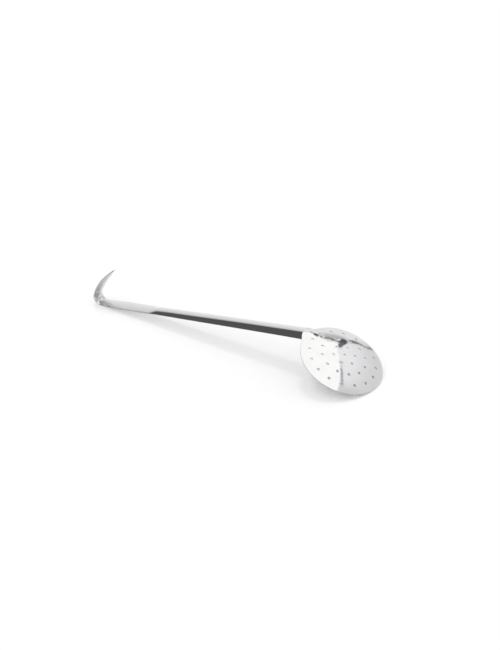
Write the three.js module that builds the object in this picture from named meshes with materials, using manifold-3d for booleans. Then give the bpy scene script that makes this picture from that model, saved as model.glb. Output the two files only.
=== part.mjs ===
// A kitchen skimmer of stainless sheet: a shallow round dish pierced with rings of round holes,
// and a long arched strip handle that ends in a pointed hook.
// Millimetres, +Z up. It lies back upwards, on the hook's heel and the lowest point of the rim,
// with the handle along X, the dish at +X and the origin in the middle of the footprint.

import * as THREE from 'three';
import { mergeVertices } from 'three/addons/utils/BufferGeometryUtils.js';
import Module from 'manifold-3d';

const SHEET = 1.5;                  // thickness of both pressings
const SEAM = 0.3;                   // gap along the flush seam between dish and handle

const DISH_RADIUS = 60;
const DISH_DEPTH = 11;              // height of the dome's outer face over its rim
const HOLE_RADIUS = 2.0;
const RIM_MARGIN = 12;              // from the outer ring's hole centres to the rim
const RING_COUNTS = [6, 12, 16];    // holes in each ring, from the middle out, the rings evenly spaced
const RING_TURN = 13.5;             // degrees from the handle's line to the first hole of each ring

const NECK_HALF_WIDTH = 16.8;       // where the handle meets the rim
const NECK_LENGTH = 2;              // of the strip's edges, over which it bends away from the dome
const NECK_BEND = 12.8;             // degrees that the handle drops below the dome's own slope
const NECK_BULGE = 4;               // how much farther out the strip's crown bends than its edges
const BULGE_FADE = 60;              // length over which that difference runs out
const NOSE_RISE = 3.4;              // of the strip's crown over the plain dome at the seam
const NOSE_LENGTH = 20;             // over which the crown runs out in the dome
const NOSE_EDGE = 5;                // over which the nose's side edges soften
const SHANK_LENGTH = 294;           // straight length between the neck and the splayed end
const SPLAY_LENGTH = 68;            // flatter length in front of the heel
const HEEL_RADIUS = 9.9;            // of the strip's edges in the heel's bend
const HEEL_TURN = 119.5;            // degrees
const BLADE_LENGTH = 60.3;          // hook from the heel to its point
const BLADE_TURN = 32;              // degrees that the hook curls back over its length

// The strip's half width and crown height by place. Each place is a stretch of the strip and the
// share of that stretch already run.
const STRIP_SHAPE = [
  { stretch: 'neck', share: 1.0, half: 15.4, crown: 7.9 },
  { stretch: 'shank', share: 0.04, half: 14.8, crown: 7.7 },
  { stretch: 'shank', share: 0.33, half: 13.6, crown: 6.6 },
  { stretch: 'shank', share: 0.66, half: 12.6, crown: 5.0 },
  { stretch: 'shank', share: 0.87, half: 11.85, crown: 3.8 },
  { stretch: 'shank', share: 0.92, half: 11.75, crown: 1.8 },
  { stretch: 'splay', share: 0.5, half: 12.0, crown: 1.6 },
  { stretch: 'splay', share: 1.0, half: 10.0, crown: 3.0 },
  { stretch: 'heel', share: 0.5, half: 10.3, crown: 3.6 },
  { stretch: 'heel', share: 1.0, half: 11.0, crown: 3.4 },
  { stretch: 'blade', share: 0.35, half: 12.4, crown: 4.3 },
  { stretch: 'blade', share: 0.7, half: 8.7, crown: 3.5 },
  { stretch: 'blade', share: 1.0, half: 1.6, crown: 0.3 },
];

const RIM_SEGMENTS = 84;
const DOME_STEPS = 14;
const HOLE_SEGMENTS = 20;
const PUNCH_SHEETS = 4;             // length of a hole's punch in thicknesses of the sheet
const ACROSS_STEPS = 12;            // facets across the strip
const FACET_TURN = 7;               // degrees of bend in one facet along the strip
const FACET_LENGTH = 16;            // longest facet along the strip
const LEAST_FACETS = 5;             // along any one stretch of the strip
const LAY_PASSES = 12;
const SAME_POINT = 1e-4;            // corners nearer than this are one

const radians = THREE.MathUtils.degToRad;
const ACROSS = new THREE.Vector3(0, 1, 0);

const wasm = await Module();
wasm.setup();

// The dome is part of a sphere. Its slope at the rim sets the way the handle leaves it.
const DOME_SPHERE = (DISH_RADIUS ** 2 + DISH_DEPTH ** 2) / (2 * DISH_DEPTH);
const RIM_SLOPE = Math.asin(DISH_RADIUS / DOME_SPHERE);

// The dip of the seam's chord behind the rim's edge for a strip of the neck's width, and how far
// the plain dome's edge stands over that chord.
const SEAM_LEAD = DISH_RADIUS - Math.sqrt(DISH_RADIUS ** 2 - NECK_HALF_WIDTH ** 2);
const SEAM_CROWN = SEAM_LEAD * Math.sin(RIM_SLOPE);

function toManifold(geometry) {
  const bare = new THREE.BufferGeometry();
  bare.setAttribute('position', geometry.getAttribute('position'));
  bare.setIndex(geometry.getIndex());
  const merged = mergeVertices(bare, SAME_POINT);
  const index = merged.getIndex().array;
  const triangles = [];
  for (let i = 0; i < index.length; i += 3) {
    const [a, b, c] = index.slice(i, i + 3);
    if (a !== b && b !== c && c !== a) {
      triangles.push(a, b, c);
    }
  }
  return new wasm.Manifold(new wasm.Mesh({
    numProp: 3,
    vertProperties: new Float32Array(merged.getAttribute('position').array),
    triVerts: new Uint32Array(triangles),
  }));
}

function fromManifold(solid) {
  const mesh = solid.getMesh();
  const geometry = new THREE.BufferGeometry();
  geometry.setAttribute('position', new THREE.BufferAttribute(new Float32Array(mesh.vertProperties), 3));
  geometry.setIndex([...mesh.triVerts]);
  return geometry;
}

// One closed body between two grids of points of the same size, outer and inner.
function closeGrids(outer, inner) {
  const rows = outer.length;
  const columns = outer[0].length;
  const points = [...outer.flat(), ...inner.flat()];
  const at = (side, row, column) => side * rows * columns + row * columns + column;
  const faces = [];
  const quad = (a, b, c, d) => faces.push(a, c, b, a, d, c);
  for (let row = 0; row < rows - 1; row += 1) {
    for (let column = 0; column < columns - 1; column += 1) {
      quad(at(0, row, column), at(0, row + 1, column), at(0, row + 1, column + 1), at(0, row, column + 1));
      quad(at(1, row, column), at(1, row, column + 1), at(1, row + 1, column + 1), at(1, row + 1, column));
    }
    quad(at(0, row, 0), at(1, row, 0), at(1, row + 1, 0), at(0, row + 1, 0));
    const last = columns - 1;
    quad(at(0, row, last), at(0, row + 1, last), at(1, row + 1, last), at(1, row, last));
  }
  for (let column = 0; column < columns - 1; column += 1) {
    quad(at(0, 0, column), at(0, 0, column + 1), at(1, 0, column + 1), at(1, 0, column));
    const last = rows - 1;
    quad(at(0, last, column), at(1, last, column), at(1, last, column + 1), at(0, last, column + 1));
  }
  const geometry = new THREE.BufferGeometry().setFromPoints(points);
  geometry.setIndex(faces);
  return geometry;
}

// The dish stands in its own frame: rim in the plane z = 0, dome upwards, handle towards -X.
function domeSheet() {
  const profile = [];
  for (let step = 0; step <= DOME_STEPS; step += 1) {
    const slope = RIM_SLOPE * step / DOME_STEPS;
    const height = DOME_SPHERE * Math.cos(slope) - (DOME_SPHERE - DISH_DEPTH);
    profile.push(new THREE.Vector2(DOME_SPHERE * Math.sin(slope), height));
  }
  for (let step = DOME_STEPS; step >= 0; step -= 1) {
    const slope = RIM_SLOPE * step / DOME_STEPS;
    const radius = DOME_SPHERE - SHEET;
    profile.push(new THREE.Vector2(radius * Math.sin(slope), radius * Math.cos(slope) - (DOME_SPHERE - DISH_DEPTH)));
  }
  profile[0].x = 0;
  profile[profile.length - 1].x = 0;
  const geometry = new THREE.LatheGeometry(profile.reverse(), RIM_SEGMENTS);
  return raiseNose(geometry.rotateX(Math.PI / 2));
}

// Height of a circular arch over its chord at a distance from the middle.
function archHeight(aside, half, crown) {
  const radius = (half ** 2 + crown ** 2) / (2 * crown);
  return Math.sqrt(radius ** 2 - aside ** 2) - (radius - crown);
}

// How far the handle's crown, running out into the dome as a nose, lifts a point of the dish.
function noseRise(x, y) {
  const inside = DISH_RADIUS - Math.hypot(x, y);
  const share = THREE.MathUtils.clamp(inside / NOSE_LENGTH, 0, 1);
  const half = NECK_HALF_WIDTH * Math.sqrt(1 - share ** 2);
  if (x > 0 || Math.abs(y) >= half) {
    return 0;
  }
  const place = Math.abs(y) / half;
  const aside = place * NECK_HALF_WIDTH;
  const rise = archHeight(aside, NECK_HALF_WIDTH, SEAM_CROWN + NOSE_RISE) - archHeight(aside, NECK_HALF_WIDTH, SEAM_CROWN);
  const softness = THREE.MathUtils.clamp(inside / NOSE_EDGE, 0, 1);
  return rise * (1 - THREE.MathUtils.smoothstep(share, 0, 1)) * (1 - place ** 2) ** softness;
}

function raiseNose(geometry) {
  const position = geometry.getAttribute('position');
  const back = backVector(RIM_SLOPE);
  const point = new THREE.Vector3();
  for (let i = 0; i < position.count; i += 1) {
    point.fromBufferAttribute(position, i);
    point.addScaledVector(back, noseRise(point.x, point.y));
    position.setXYZ(i, point.x, point.y, point.z);
  }
  return geometry;
}

// A punch for one hole, along the dome's radius.
function holePunch(distance, turn) {
  const slope = Math.asin(distance / DOME_SPHERE);
  const punch = new THREE.CylinderGeometry(HOLE_RADIUS, HOLE_RADIUS, PUNCH_SHEETS * SHEET, HOLE_SEGMENTS);
  punch.rotateX(Math.PI / 2);
  punch.translate(0, 0, DOME_SPHERE - SHEET / 2);
  punch.rotateY(-slope);
  punch.rotateZ(-turn);
  return punch.translate(0, 0, DISH_DEPTH - DOME_SPHERE);
}

function perforatedDish() {
  const pitch = (DISH_RADIUS - RIM_MARGIN) / RING_COUNTS.length;
  let solid = toManifold(domeSheet()).subtract(toManifold(holePunch(0, 0)));
  RING_COUNTS.forEach((count, ring) => {
    for (let hole = 0; hole < count; hole += 1) {
      const turn = radians(RING_TURN) + hole * 2 * Math.PI / count;
      solid = solid.subtract(toManifold(holePunch(pitch * (ring + 1), turn)));
    }
  });
  return fromManifold(solid);
}

// The strip's edge line runs from the seam outwards in the XZ plane, in stretches of even bend.
const STRETCHES = [
  { name: 'neck', length: NECK_LENGTH, turn: radians(NECK_BEND) },
  { name: 'shank', length: SHANK_LENGTH, turn: 0 },
  { name: 'splay', length: SPLAY_LENGTH, turn: 0 },
  { name: 'heel', length: HEEL_RADIUS * radians(HEEL_TURN), turn: -radians(HEEL_TURN) },
  { name: 'blade', length: BLADE_LENGTH, turn: -radians(BLADE_TURN) },
];

// Distance along the strip to a share of a named stretch.
function runTo(name, share) {
  const place = STRETCHES.findIndex((stretch) => stretch.name === name);
  const before = STRETCHES.slice(0, place).reduce((sum, stretch) => sum + stretch.length, 0);
  return before + share * STRETCHES[place].length;
}

const SHAPE_KEYS = [
  { run: 0, half: NECK_HALF_WIDTH, crown: SEAM_CROWN + NOSE_RISE },
  ...STRIP_SHAPE.map((key) => ({ run: runTo(key.stretch, key.share), half: key.half, crown: key.crown })),
];

// Smooth curve through the keys, with the slope at each key held level at peaks and hollows.
function shapeAt(run, field) {
  const keys = SHAPE_KEYS;
  const last = keys.length - 1;
  const rise = (k) => (keys[k + 1][field] - keys[k][field]) / (keys[k + 1].run - keys[k].run);
  const slope = (k) => {
    if (k === 0) {
      return rise(0);
    }
    if (k === last) {
      return rise(last - 1);
    }
    const product = rise(k - 1) * rise(k);
    return product <= 0 ? 0 : 2 * product / (rise(k - 1) + rise(k));
  };
  let k = 0;
  while (k < last - 1 && run > keys[k + 1].run) {
    k += 1;
  }
  const width = keys[k + 1].run - keys[k].run;
  const t = THREE.MathUtils.clamp((run - keys[k].run) / width, 0, 1);
  const ease = t * t * (3 - 2 * t);
  const bend = width * t * (1 - t) * ((1 - t) * slope(k) - t * slope(k + 1));
  return keys[k][field] + (keys[k + 1][field] - keys[k][field]) * ease + bend;
}

// Stations along the edge line: place, heading and distance run.
function spine() {
  const start = new THREE.Vector3(SEAM_LEAD - DISH_RADIUS, 0, 0);
  const place = start.addScaledVector(headingVector(RIM_SLOPE), SEAM);
  const stations = [];
  let heading = RIM_SLOPE;
  let run = 0;
  stations.push({ place: place.clone(), heading, run });
  for (const stretch of STRETCHES) {
    const byTurn = Math.abs(stretch.turn) / radians(FACET_TURN);
    const steps = Math.ceil(Math.max(byTurn, stretch.length / FACET_LENGTH, LEAST_FACETS));
    for (let step = 0; step < steps; step += 1) {
      heading += stretch.turn / (2 * steps);
      place.addScaledVector(headingVector(heading), stretch.length / steps);
      heading += stretch.turn / (2 * steps);
      run += stretch.length / steps;
      stations.push({ place: place.clone(), heading, run });
    }
  }
  return stations;
}

// Outwards along the strip: towards -X, dropping by the heading.
function headingVector(heading) {
  return new THREE.Vector3(-Math.cos(heading), 0, -Math.sin(heading));
}

// The strip's back, the side that the dome's outer face runs on into.
function backVector(heading) {
  return new THREE.Vector3(-Math.sin(heading), 0, Math.cos(heading));
}

// How much farther out the crown of a row lies than its edges. At the seam the row follows the rim.
function bulgeAt(run) {
  const atSeam = SEAM_LEAD * Math.cos(RIM_SLOPE);
  const grown = atSeam + (NECK_BULGE - atSeam) * THREE.MathUtils.clamp(run / NECK_LENGTH, 0, 1);
  return grown * (1 - THREE.MathUtils.smoothstep(run, NECK_LENGTH, NECK_LENGTH + BULGE_FADE));
}

// One row across the strip: a circular arch over the edge line, bulging outwards along the strip.
function archRow(station, depth) {
  const half = shapeAt(station.run, 'half');
  const crown = shapeAt(station.run, 'crown');
  const radius = (half ** 2 + crown ** 2) / (2 * crown);
  const reach = Math.asin(half / radius);
  const bulge = bulgeAt(station.run);
  const back = backVector(station.heading);
  const out = headingVector(station.heading);
  const row = [];
  for (let column = 0; column <= ACROSS_STEPS; column += 1) {
    const tilt = reach * (2 * column / ACROSS_STEPS - 1);
    const aside = (radius - depth) * Math.sin(tilt);
    const point = station.place.clone();
    point.addScaledVector(ACROSS, aside);
    point.addScaledVector(back, (radius - depth) * Math.cos(tilt) - (radius - crown));
    row.push(point.addScaledVector(out, bulge * (1 - (aside / half) ** 2)));
  }
  return row;
}

function handle() {
  const stations = spine();
  const outer = stations.map((station) => archRow(station, 0));
  const inner = stations.map((station) => archRow(station, SHEET));
  return closeGrids(outer, inner);
}

function lowestPoint(geometry) {
  const position = geometry.getAttribute('position');
  const lowest = new THREE.Vector3(0, 0, Infinity);
  const point = new THREE.Vector3();
  for (let i = 0; i < position.count; i += 1) {
    point.fromBufferAttribute(position, i);
    if (point.z < lowest.z) {
      lowest.copy(point);
    }
  }
  return lowest;
}

// Turns both pieces about Y until dish and handle reach down equally far, then sets them on z = 0.
function layOnFloor(dish, strip) {
  for (let pass = 0; pass < LAY_PASSES; pass += 1) {
    const front = lowestPoint(dish);
    const rear = lowestPoint(strip);
    const turn = Math.atan2(front.z - rear.z, front.x - rear.x);
    dish.rotateY(turn);
    strip.rotateY(turn);
  }
  const box = new THREE.Box3();
  for (const geometry of [dish, strip]) {
    geometry.computeBoundingBox();
    box.union(geometry.boundingBox);
  }
  const middle = box.getCenter(new THREE.Vector3());
  for (const geometry of [dish, strip]) {
    geometry.translate(-middle.x, -middle.y, -box.min.z);
  }
}

function steel(tint) {
  return new THREE.MeshStandardMaterial({ color: tint, metalness: 1, roughness: 0.18, flatShading: true });
}

function named(name, geometry, tint) {
  const mesh = new THREE.Mesh(geometry, steel(tint));
  mesh.name = name;
  return mesh;
}

const dishSolid = perforatedDish();
const handleSolid = handle();
layOnFloor(dishSolid, handleSolid);

const skimmer = new THREE.Group();
skimmer.name = 'skimmer';
skimmer.add(named('perforated_dish', dishSolid, 0xd6d8da));
skimmer.add(named('handle', handleSolid, 0xcfd1d4));

export default skimmer;
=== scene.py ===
"""A kitchen skimmer of polished stainless sheet, lying back upwards on a pale floor.

The dish is a shallow dome pierced with rings of round holes. The handle is a long arched strip
whose end is bent into a pointed hook. The classes hold their sizes in millimetres, and a length
becomes metres when a mesh is made. Both pieces are worked out in the dish's own frame, with the
rim in the plane z = 0, the dome upwards and the handle towards -X, and then laid on the floor.
"""

import logging
import math
from collections.abc import Mapping, Sequence
from dataclasses import dataclass
from enum import Enum
from typing import Any

import bpy
import numpy as np
from mathutils import Matrix, Vector
from mathutils.geometry import delaunay_2d_cdt


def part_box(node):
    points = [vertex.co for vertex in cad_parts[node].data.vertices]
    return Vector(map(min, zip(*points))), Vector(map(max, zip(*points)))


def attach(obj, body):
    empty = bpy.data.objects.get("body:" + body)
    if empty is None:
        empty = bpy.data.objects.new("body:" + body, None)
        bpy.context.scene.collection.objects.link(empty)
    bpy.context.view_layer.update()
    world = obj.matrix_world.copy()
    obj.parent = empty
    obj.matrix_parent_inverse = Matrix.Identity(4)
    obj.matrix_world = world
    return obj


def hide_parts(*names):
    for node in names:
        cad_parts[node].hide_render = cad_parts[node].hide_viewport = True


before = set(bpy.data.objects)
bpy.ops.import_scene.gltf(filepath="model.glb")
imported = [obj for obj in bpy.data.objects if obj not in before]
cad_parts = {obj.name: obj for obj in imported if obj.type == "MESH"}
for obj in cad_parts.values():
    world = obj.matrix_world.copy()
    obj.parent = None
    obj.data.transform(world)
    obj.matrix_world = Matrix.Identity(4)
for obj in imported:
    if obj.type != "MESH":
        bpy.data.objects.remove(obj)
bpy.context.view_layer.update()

METRE = 1000.0          # millimetres
Array = np.ndarray
Colour = tuple[float, float, float]

log = logging.getLogger("skimmer")


def unit(vectors: Array) -> Array:
    """Scales vectors to length one.

    Args:
        vectors: Array whose last axis holds x, y and z.

    Returns:
        The same directions at length one.
    """
    return vectors / np.linalg.norm(vectors, axis=-1, keepdims=True)


def quarter(steps: int) -> Array:
    """Angles of a quarter turn, both ends included.

    Args:
        steps: Number of equal steps.

    Returns:
        Angles in radians from 0 to a right angle.
    """
    return np.linspace(0.0, math.pi / 2, steps + 1)


def full_turn(count: int) -> Array:
    """Angles evenly round a circle, from 0, in radians."""
    return 2 * math.pi * np.arange(count) / count


def around(turn: Array) -> Array:
    """Points of the unit circle at some angles, with x and y on the last axis."""
    return np.stack([np.cos(turn), np.sin(turn)], axis=-1)


def eased(share: Array) -> Array:
    """A smooth step from 0 to 1: three times the share's square less twice its cube.

    Args:
        share: How far along, held between 0 and 1.

    Returns:
        The step's height.
    """
    share = np.clip(share, 0.0, 1.0)
    return share * share * (3 - 2 * share)


def arch_radius(half: Array | float, crown: Array | float) -> Array | float:
    """Radius of an arch: half its chord squared plus its crown squared, over twice the crown."""
    return (half**2 + crown**2) / (2 * crown)


def arch_height(aside: Array, half: float, crown: float) -> Array:
    """Height of an arch over its chord.

    Args:
        aside: Distances from the arch's middle.
        half: Half of the chord.
        crown: Height at the middle.

    Returns:
        Heights in millimetres.
    """
    radius = arch_radius(half, crown)
    return np.sqrt(radius**2 - aside**2) - (radius - crown)


# Shapes


class Shell:
    """Collects surfaces that share corners and makes one mesh of them."""

    def __init__(self) -> None:
        """Starts empty."""
        self.points: list[Array] = []
        self.normals: list[Array] = []
        self.marks: dict[str, list[Array]] = {}
        self.faces: list[Array] = []
        self.count = 0

    def corners(self, points: Array, normals: Array, **marks: Array) -> Array:
        """Adds corners.

        Args:
            points: Places in millimetres, in the dish's frame, x, y and z on the last axis.
            normals: Outward directions of the same shape.
            **marks: Values for each corner, kept as attributes of the mesh.

        Returns:
            The corners' numbers, in the shape of the points without their last axis.
        """
        shape = points.shape[:-1]
        self.points.append(points.reshape(-1, 3))
        self.normals.append(normals.reshape(-1, 3))
        for name, value in marks.items():
            tail = (3,) if value.ndim > len(shape) else ()
            self.marks.setdefault(name, []).append(value.reshape((-1, *tail)))
        numbers = self.count + np.arange(int(np.prod(shape))).reshape(shape)
        self.count += numbers.size
        return numbers

    def triangles(self, numbers: Array) -> None:
        """Adds triangles, three corner numbers on the last axis."""
        self.faces.append(numbers.reshape(-1, 3))

    def grid(self, numbers: Array, wrap: bool = False) -> None:
        """Joins the rows of a grid of corners with triangles.

        Args:
            numbers: Corner numbers, with the rows and columns on the last two axes.
            wrap: Whether the last column joins the first one.
        """
        if wrap:
            numbers = np.concatenate([numbers, numbers[..., :1]], axis=-1)
        a, b = numbers[..., :-1, :-1], numbers[..., :-1, 1:]
        c, d = numbers[..., 1:, 1:], numbers[..., 1:, :-1]
        self.triangles(np.stack([a, b, c], axis=-1))
        self.triangles(np.stack([a, c, d], axis=-1))

    def piece(self, name: str, pose: "RestPose", sharp: float) -> bpy.types.Object:
        """Makes the object, with every face turned the way its corners' normals point.

        Args:
            name: The piece's name.
            pose: Where the skimmer lies.
            sharp: Bend in radians past which an edge keeps two normals.

        Returns:
            The object, at the origin, with its place in its mesh.
        """
        points = pose.place(np.concatenate(self.points)) / METRE
        normals = pose.turn(unit(np.concatenate(self.normals)))
        faces = np.concatenate(self.faces)
        sides = points[faces]
        across = np.cross(sides[:, 1] - sides[:, 0], sides[:, 2] - sides[:, 0])
        turned = (across * normals[faces].sum(axis=1)).sum(axis=-1) < 0
        faces[turned] = faces[turned][:, ::-1]
        mesh = bpy.data.meshes.new(name)
        mesh.from_pydata(points.tolist(), [], faces.tolist())
        for key, values in self.marks.items():
            value = np.concatenate(values)
            kind, field = ("FLOAT", "value") if value.ndim == 1 else ("FLOAT_VECTOR", "vector")
            attribute = mesh.attributes.new(key, kind, "POINT")
            attribute.data.foreach_set(field, value.astype(np.float32).ravel())
        mesh.shade_smooth()
        mesh.set_sharp_from_angle(angle=sharp)
        mesh.normals_split_custom_set_from_vertices(normals.tolist())
        mesh.update()
        item = bpy.data.objects.new(name, mesh)
        bpy.context.scene.collection.objects.link(item)
        log.info("%s: %d corners, %d triangles", name, len(points), len(faces))
        return item


@dataclass(frozen=True)
class RestPose:
    """How the skimmer lies: turned about Y from the dish's frame, then moved.

    Attributes:
        tilt: Angle about Y in radians.
        shift: Move in millimetres.
    """

    tilt: float
    shift: tuple[float, float, float]

    def turn(self, vectors: Array) -> Array:
        """Turns vectors about Y: x grows by z times the sine, z falls by x times the sine.

        Args:
            vectors: Directions in the dish's frame.

        Returns:
            The directions on the floor.
        """
        x, y, z = np.moveaxis(vectors, -1, 0)
        c, s = math.cos(self.tilt), math.sin(self.tilt)
        return np.stack([x * c + z * s, y, z * c - x * s], axis=-1)

    def place(self, points: Array) -> Array:
        """Carries points of the dish's frame to the floor's, in millimetres."""
        return self.turn(points) + np.array(self.shift)

    @classmethod
    def lying(cls, dish: "Dish", handle: "Handle", passes: int = 10) -> "RestPose":
        """Finds the pose in which the dish's rim and the hook's heel stand on the floor.

        Each pass turns the skimmer by the slope of the line between the lowest point of the dish
        and the lowest point of the handle. The footprint's middle then goes to the origin.

        Args:
            dish: The dish.
            handle: The handle.
            passes: How often the turn is mended.

        Returns:
            The rest pose.
        """
        dish_points, strip_points = dish.outline(), handle.outline()
        pose = cls(0.0, (0.0, 0.0, 0.0))
        for _ in range(passes):
            front, rear = (p[np.argmin(p[:, 2])] for p in map(pose.turn, (dish_points, strip_points)))
            turn = math.atan2(front[2] - rear[2], front[0] - rear[0])
            pose = cls(pose.tilt + turn, (0.0, 0.0, 0.0))
        laid = pose.turn(np.concatenate([dish_points, strip_points]))
        low, high = laid.min(axis=0), laid.max(axis=0)
        return cls(pose.tilt, (-(low[0] + high[0]) / 2, 0.0, -low[2]))


@dataclass(frozen=True)
class Dish:
    """The perforated dish: part of a sphere in sheet, with rings of round holes.

    Attributes:
        radius: Of the rim.
        depth: Height of the dome's outer face over the rim.
        sheet: Thickness.
        hole_radius: Of the holes' bores.
        rim_margin: From the outer ring's hole centres to the rim.
        ring_counts: Holes in each ring from the middle out.
        ring_turn: Degrees from the handle's line to the first hole of each ring.
        lip: Radius that the punch leaves round the upper lip of a hole.
        burr: Radius of a hole's lower lip.
        rim_round: Radius of the rim's edges.
        dimple: How far the punch draws the sheet down round a hole.
        dimple_reach: Distance over which that fades.
        neck_half_width: Of the handle where it meets the rim.
        nose_rise: Height of the handle's crown over the plain dome at the seam.
        nose_length: Over which the crown runs out in the dome.
        nose_edge: Over which the nose's side edges soften.
    """

    radius: float = 60.0
    depth: float = 11.0
    sheet: float = 1.5
    hole_radius: float = 2.0
    rim_margin: float = 12.0
    ring_counts: tuple[int, ...] = (6, 12, 16)
    ring_turn: float = 13.5
    lip: float = 0.28
    burr: float = 0.15
    rim_round: float = 0.35
    dimple: float = 0.03
    dimple_reach: float = 1.0
    neck_half_width: float = 16.8
    nose_rise: float = 3.4
    nose_length: float = 20.0
    nose_edge: float = 5.0

    HOLE_POINTS = 40
    HOLE_RINGS = (0.25, 0.6, 1.1, 1.9)      # rows of points round a hole, from its lip
    RIM_POINTS = 288
    RIM_ROW = 0.35                          # from the rim's points to the row inside them
    RIM_CLEAR = 0.9                         # from the rim to the outermost circle
    SPACING = 1.7
    NOSE_SPACING = 0.8
    STAGGER = 0.37                          # turn of each circle in steps of its points
    LEAST_GAP = 0.6                         # from a hole's last row to the circles' points
    LEAST_NOSE = 0.02                       # height from which a place counts as the nose
    LIP_STEPS = 5
    LIP_SHARE = 0.8                         # of the lip's width, within which a triangle is in a hole
    SEAM_EDGE = 0.03                        # rounding of the rim's edges along the seam
    SEAM_FADE = math.radians(2.0)           # over which the rim's rounding runs out there

    @property
    def sphere(self) -> float:
        """Radius of the sphere that the outer face is part of."""
        return arch_radius(self.radius, self.depth)

    @property
    def centre(self) -> Array:
        """The sphere's centre."""
        return np.array([0.0, 0.0, self.depth - self.sphere])

    @property
    def rim_slope(self) -> float:
        """Slope of the dome at the rim, in radians."""
        return math.asin(self.radius / self.sphere)

    @property
    def seam_lead(self) -> float:
        """How far the rim bulges past the chord across the handle's neck."""
        return self.radius - math.sqrt(self.radius**2 - self.neck_half_width**2)

    @property
    def seam_crown(self) -> float:
        """Height of the plain dome's edge over the chord across the handle's neck."""
        return self.seam_lead * math.sin(self.rim_slope)

    def nose_height(self, plan: Array) -> Array:
        """How high the nose stands, where the handle's crown runs out in the dome.

        At the rim it is the height between two arches over the neck's chord, the handle's and the
        plain dome's. Inwards it falls by a smooth step and narrows as an ellipse does, and its
        side edges soften.

        Args:
            plan: x and y of the places.

        Returns:
            Heights in millimetres.
        """
        x, y = np.abs(plan[..., 0]), np.abs(plan[..., 1])
        inside = self.radius - np.hypot(x, y)
        share = np.clip(inside / self.nose_length, 0.0, 1.0)
        place = np.minimum(y / (self.neck_half_width * np.sqrt(np.maximum(1 - share**2, 1e-6))), 1.0)
        aside = place * self.neck_half_width
        plain, raised = (
            arch_height(aside, self.neck_half_width, crown)
            for crown in (self.seam_crown, self.seam_crown + self.nose_rise)
        )
        rise = (raised - plain) * (1 - eased(share))
        softness = np.clip(inside / self.nose_edge, 0.0, 1.0)
        return np.where(plan[..., 0] < 0, rise * (1 - place**2) ** softness, 0.0)

    def lift(self, direction: Array) -> tuple[Array, Array]:
        """Moves the face's points up by the nose and tips their normals with it.

        The move goes along the dome's outward direction at the seam. Where the height changes by
        a slope g along the face, a normal n becomes n less g times (n . b) / (1 + g . b), with b
        the direction of the move.

        Args:
            direction: Directions of the face's points from the sphere's centre.

        Returns:
            The moves in millimetres, and the changes of the normals.
        """
        back = np.array([-math.sin(self.rim_slope), 0.0, math.cos(self.rim_slope)])
        plan, step = direction[..., :2] * self.sphere, 0.02
        slopes = [
            (self.nose_height(plan + way) - self.nose_height(plan - way)) / (2 * step)
            for way in np.array([[step, 0.0], [0.0, step]])
        ]
        steep = np.stack([*slopes, 0 * slopes[0]], axis=-1)
        steep = steep - direction * (steep * direction).sum(axis=-1, keepdims=True)
        share = (direction @ back) / (1 + steep @ back)
        return self.nose_height(plan)[..., None] * back, -steep * share[..., None]

    def holes(self) -> Array:
        """Places the holes: one in the middle, then rings at an even pitch.

        Returns:
            Directions from the sphere's centre through the holes' middles.
        """
        pitch = (self.radius - self.rim_margin) / len(self.ring_counts)
        spots = [np.zeros((1, 2))]
        for ring, count in enumerate(self.ring_counts, start=1):
            turn = math.radians(self.ring_turn) + full_turn(count)
            spots.append(pitch * ring * np.stack([-np.cos(turn), np.sin(turn)], axis=-1))
        return self.direction(np.concatenate(spots))

    def direction(self, plan: Array) -> Array:
        """Directions of points of the outer face.

        The height over the sphere's centre is the root of the sphere's radius squared less the
        plan distance squared.

        Args:
            plan: Their x and y.

        Returns:
            Directions of length one from the sphere's centre.
        """
        height = np.sqrt(np.maximum(self.sphere**2 - (plan**2).sum(axis=-1), 0.0))
        return np.concatenate([plan, height[..., None]], axis=-1) / self.sphere

    def at(self, direction: Array, distance: Array | float) -> Array:
        """Points at a distance from the sphere's centre.

        Args:
            direction: Directions of length one.
            distance: Distances in millimetres.

        Returns:
            Points in the dish's frame.
        """
        return direction * np.asarray(distance)[..., None] + self.centre

    def rim_fillet(self, turn: Array) -> Array:
        """Radius of the rim's edges, which runs out where the handle joins.

        Args:
            turn: Angles round the rim in radians, from +X towards +Y.

        Returns:
            Radii in millimetres.
        """
        reach = math.asin(self.neck_half_width / self.radius)
        away = np.abs(np.angle(np.exp(1j * (turn - math.pi)))) - reach
        return self.SEAM_EDGE + (self.rim_round - self.SEAM_EDGE) * eased(away / self.SEAM_FADE + 0.5)

    def rings(self, holes: Array, distance: float) -> Array:
        """Rings of points of the outer face round every hole.

        Args:
            holes: The holes' directions.
            distance: From the hole's axis, in millimetres.

        Returns:
            Directions, by hole and by point of the ring.
        """
        side = unit(np.cross(holes, np.array([0.0, 1.0, 0.0])))
        other = np.cross(holes, side)
        turn = full_turn(self.HOLE_POINTS)
        round_it = np.cos(turn)[:, None] * side[:, None] + np.sin(turn)[:, None] * other[:, None]
        slant = distance / self.sphere
        return math.cos(math.asin(slant)) * holes[:, None] + slant * round_it

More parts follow.
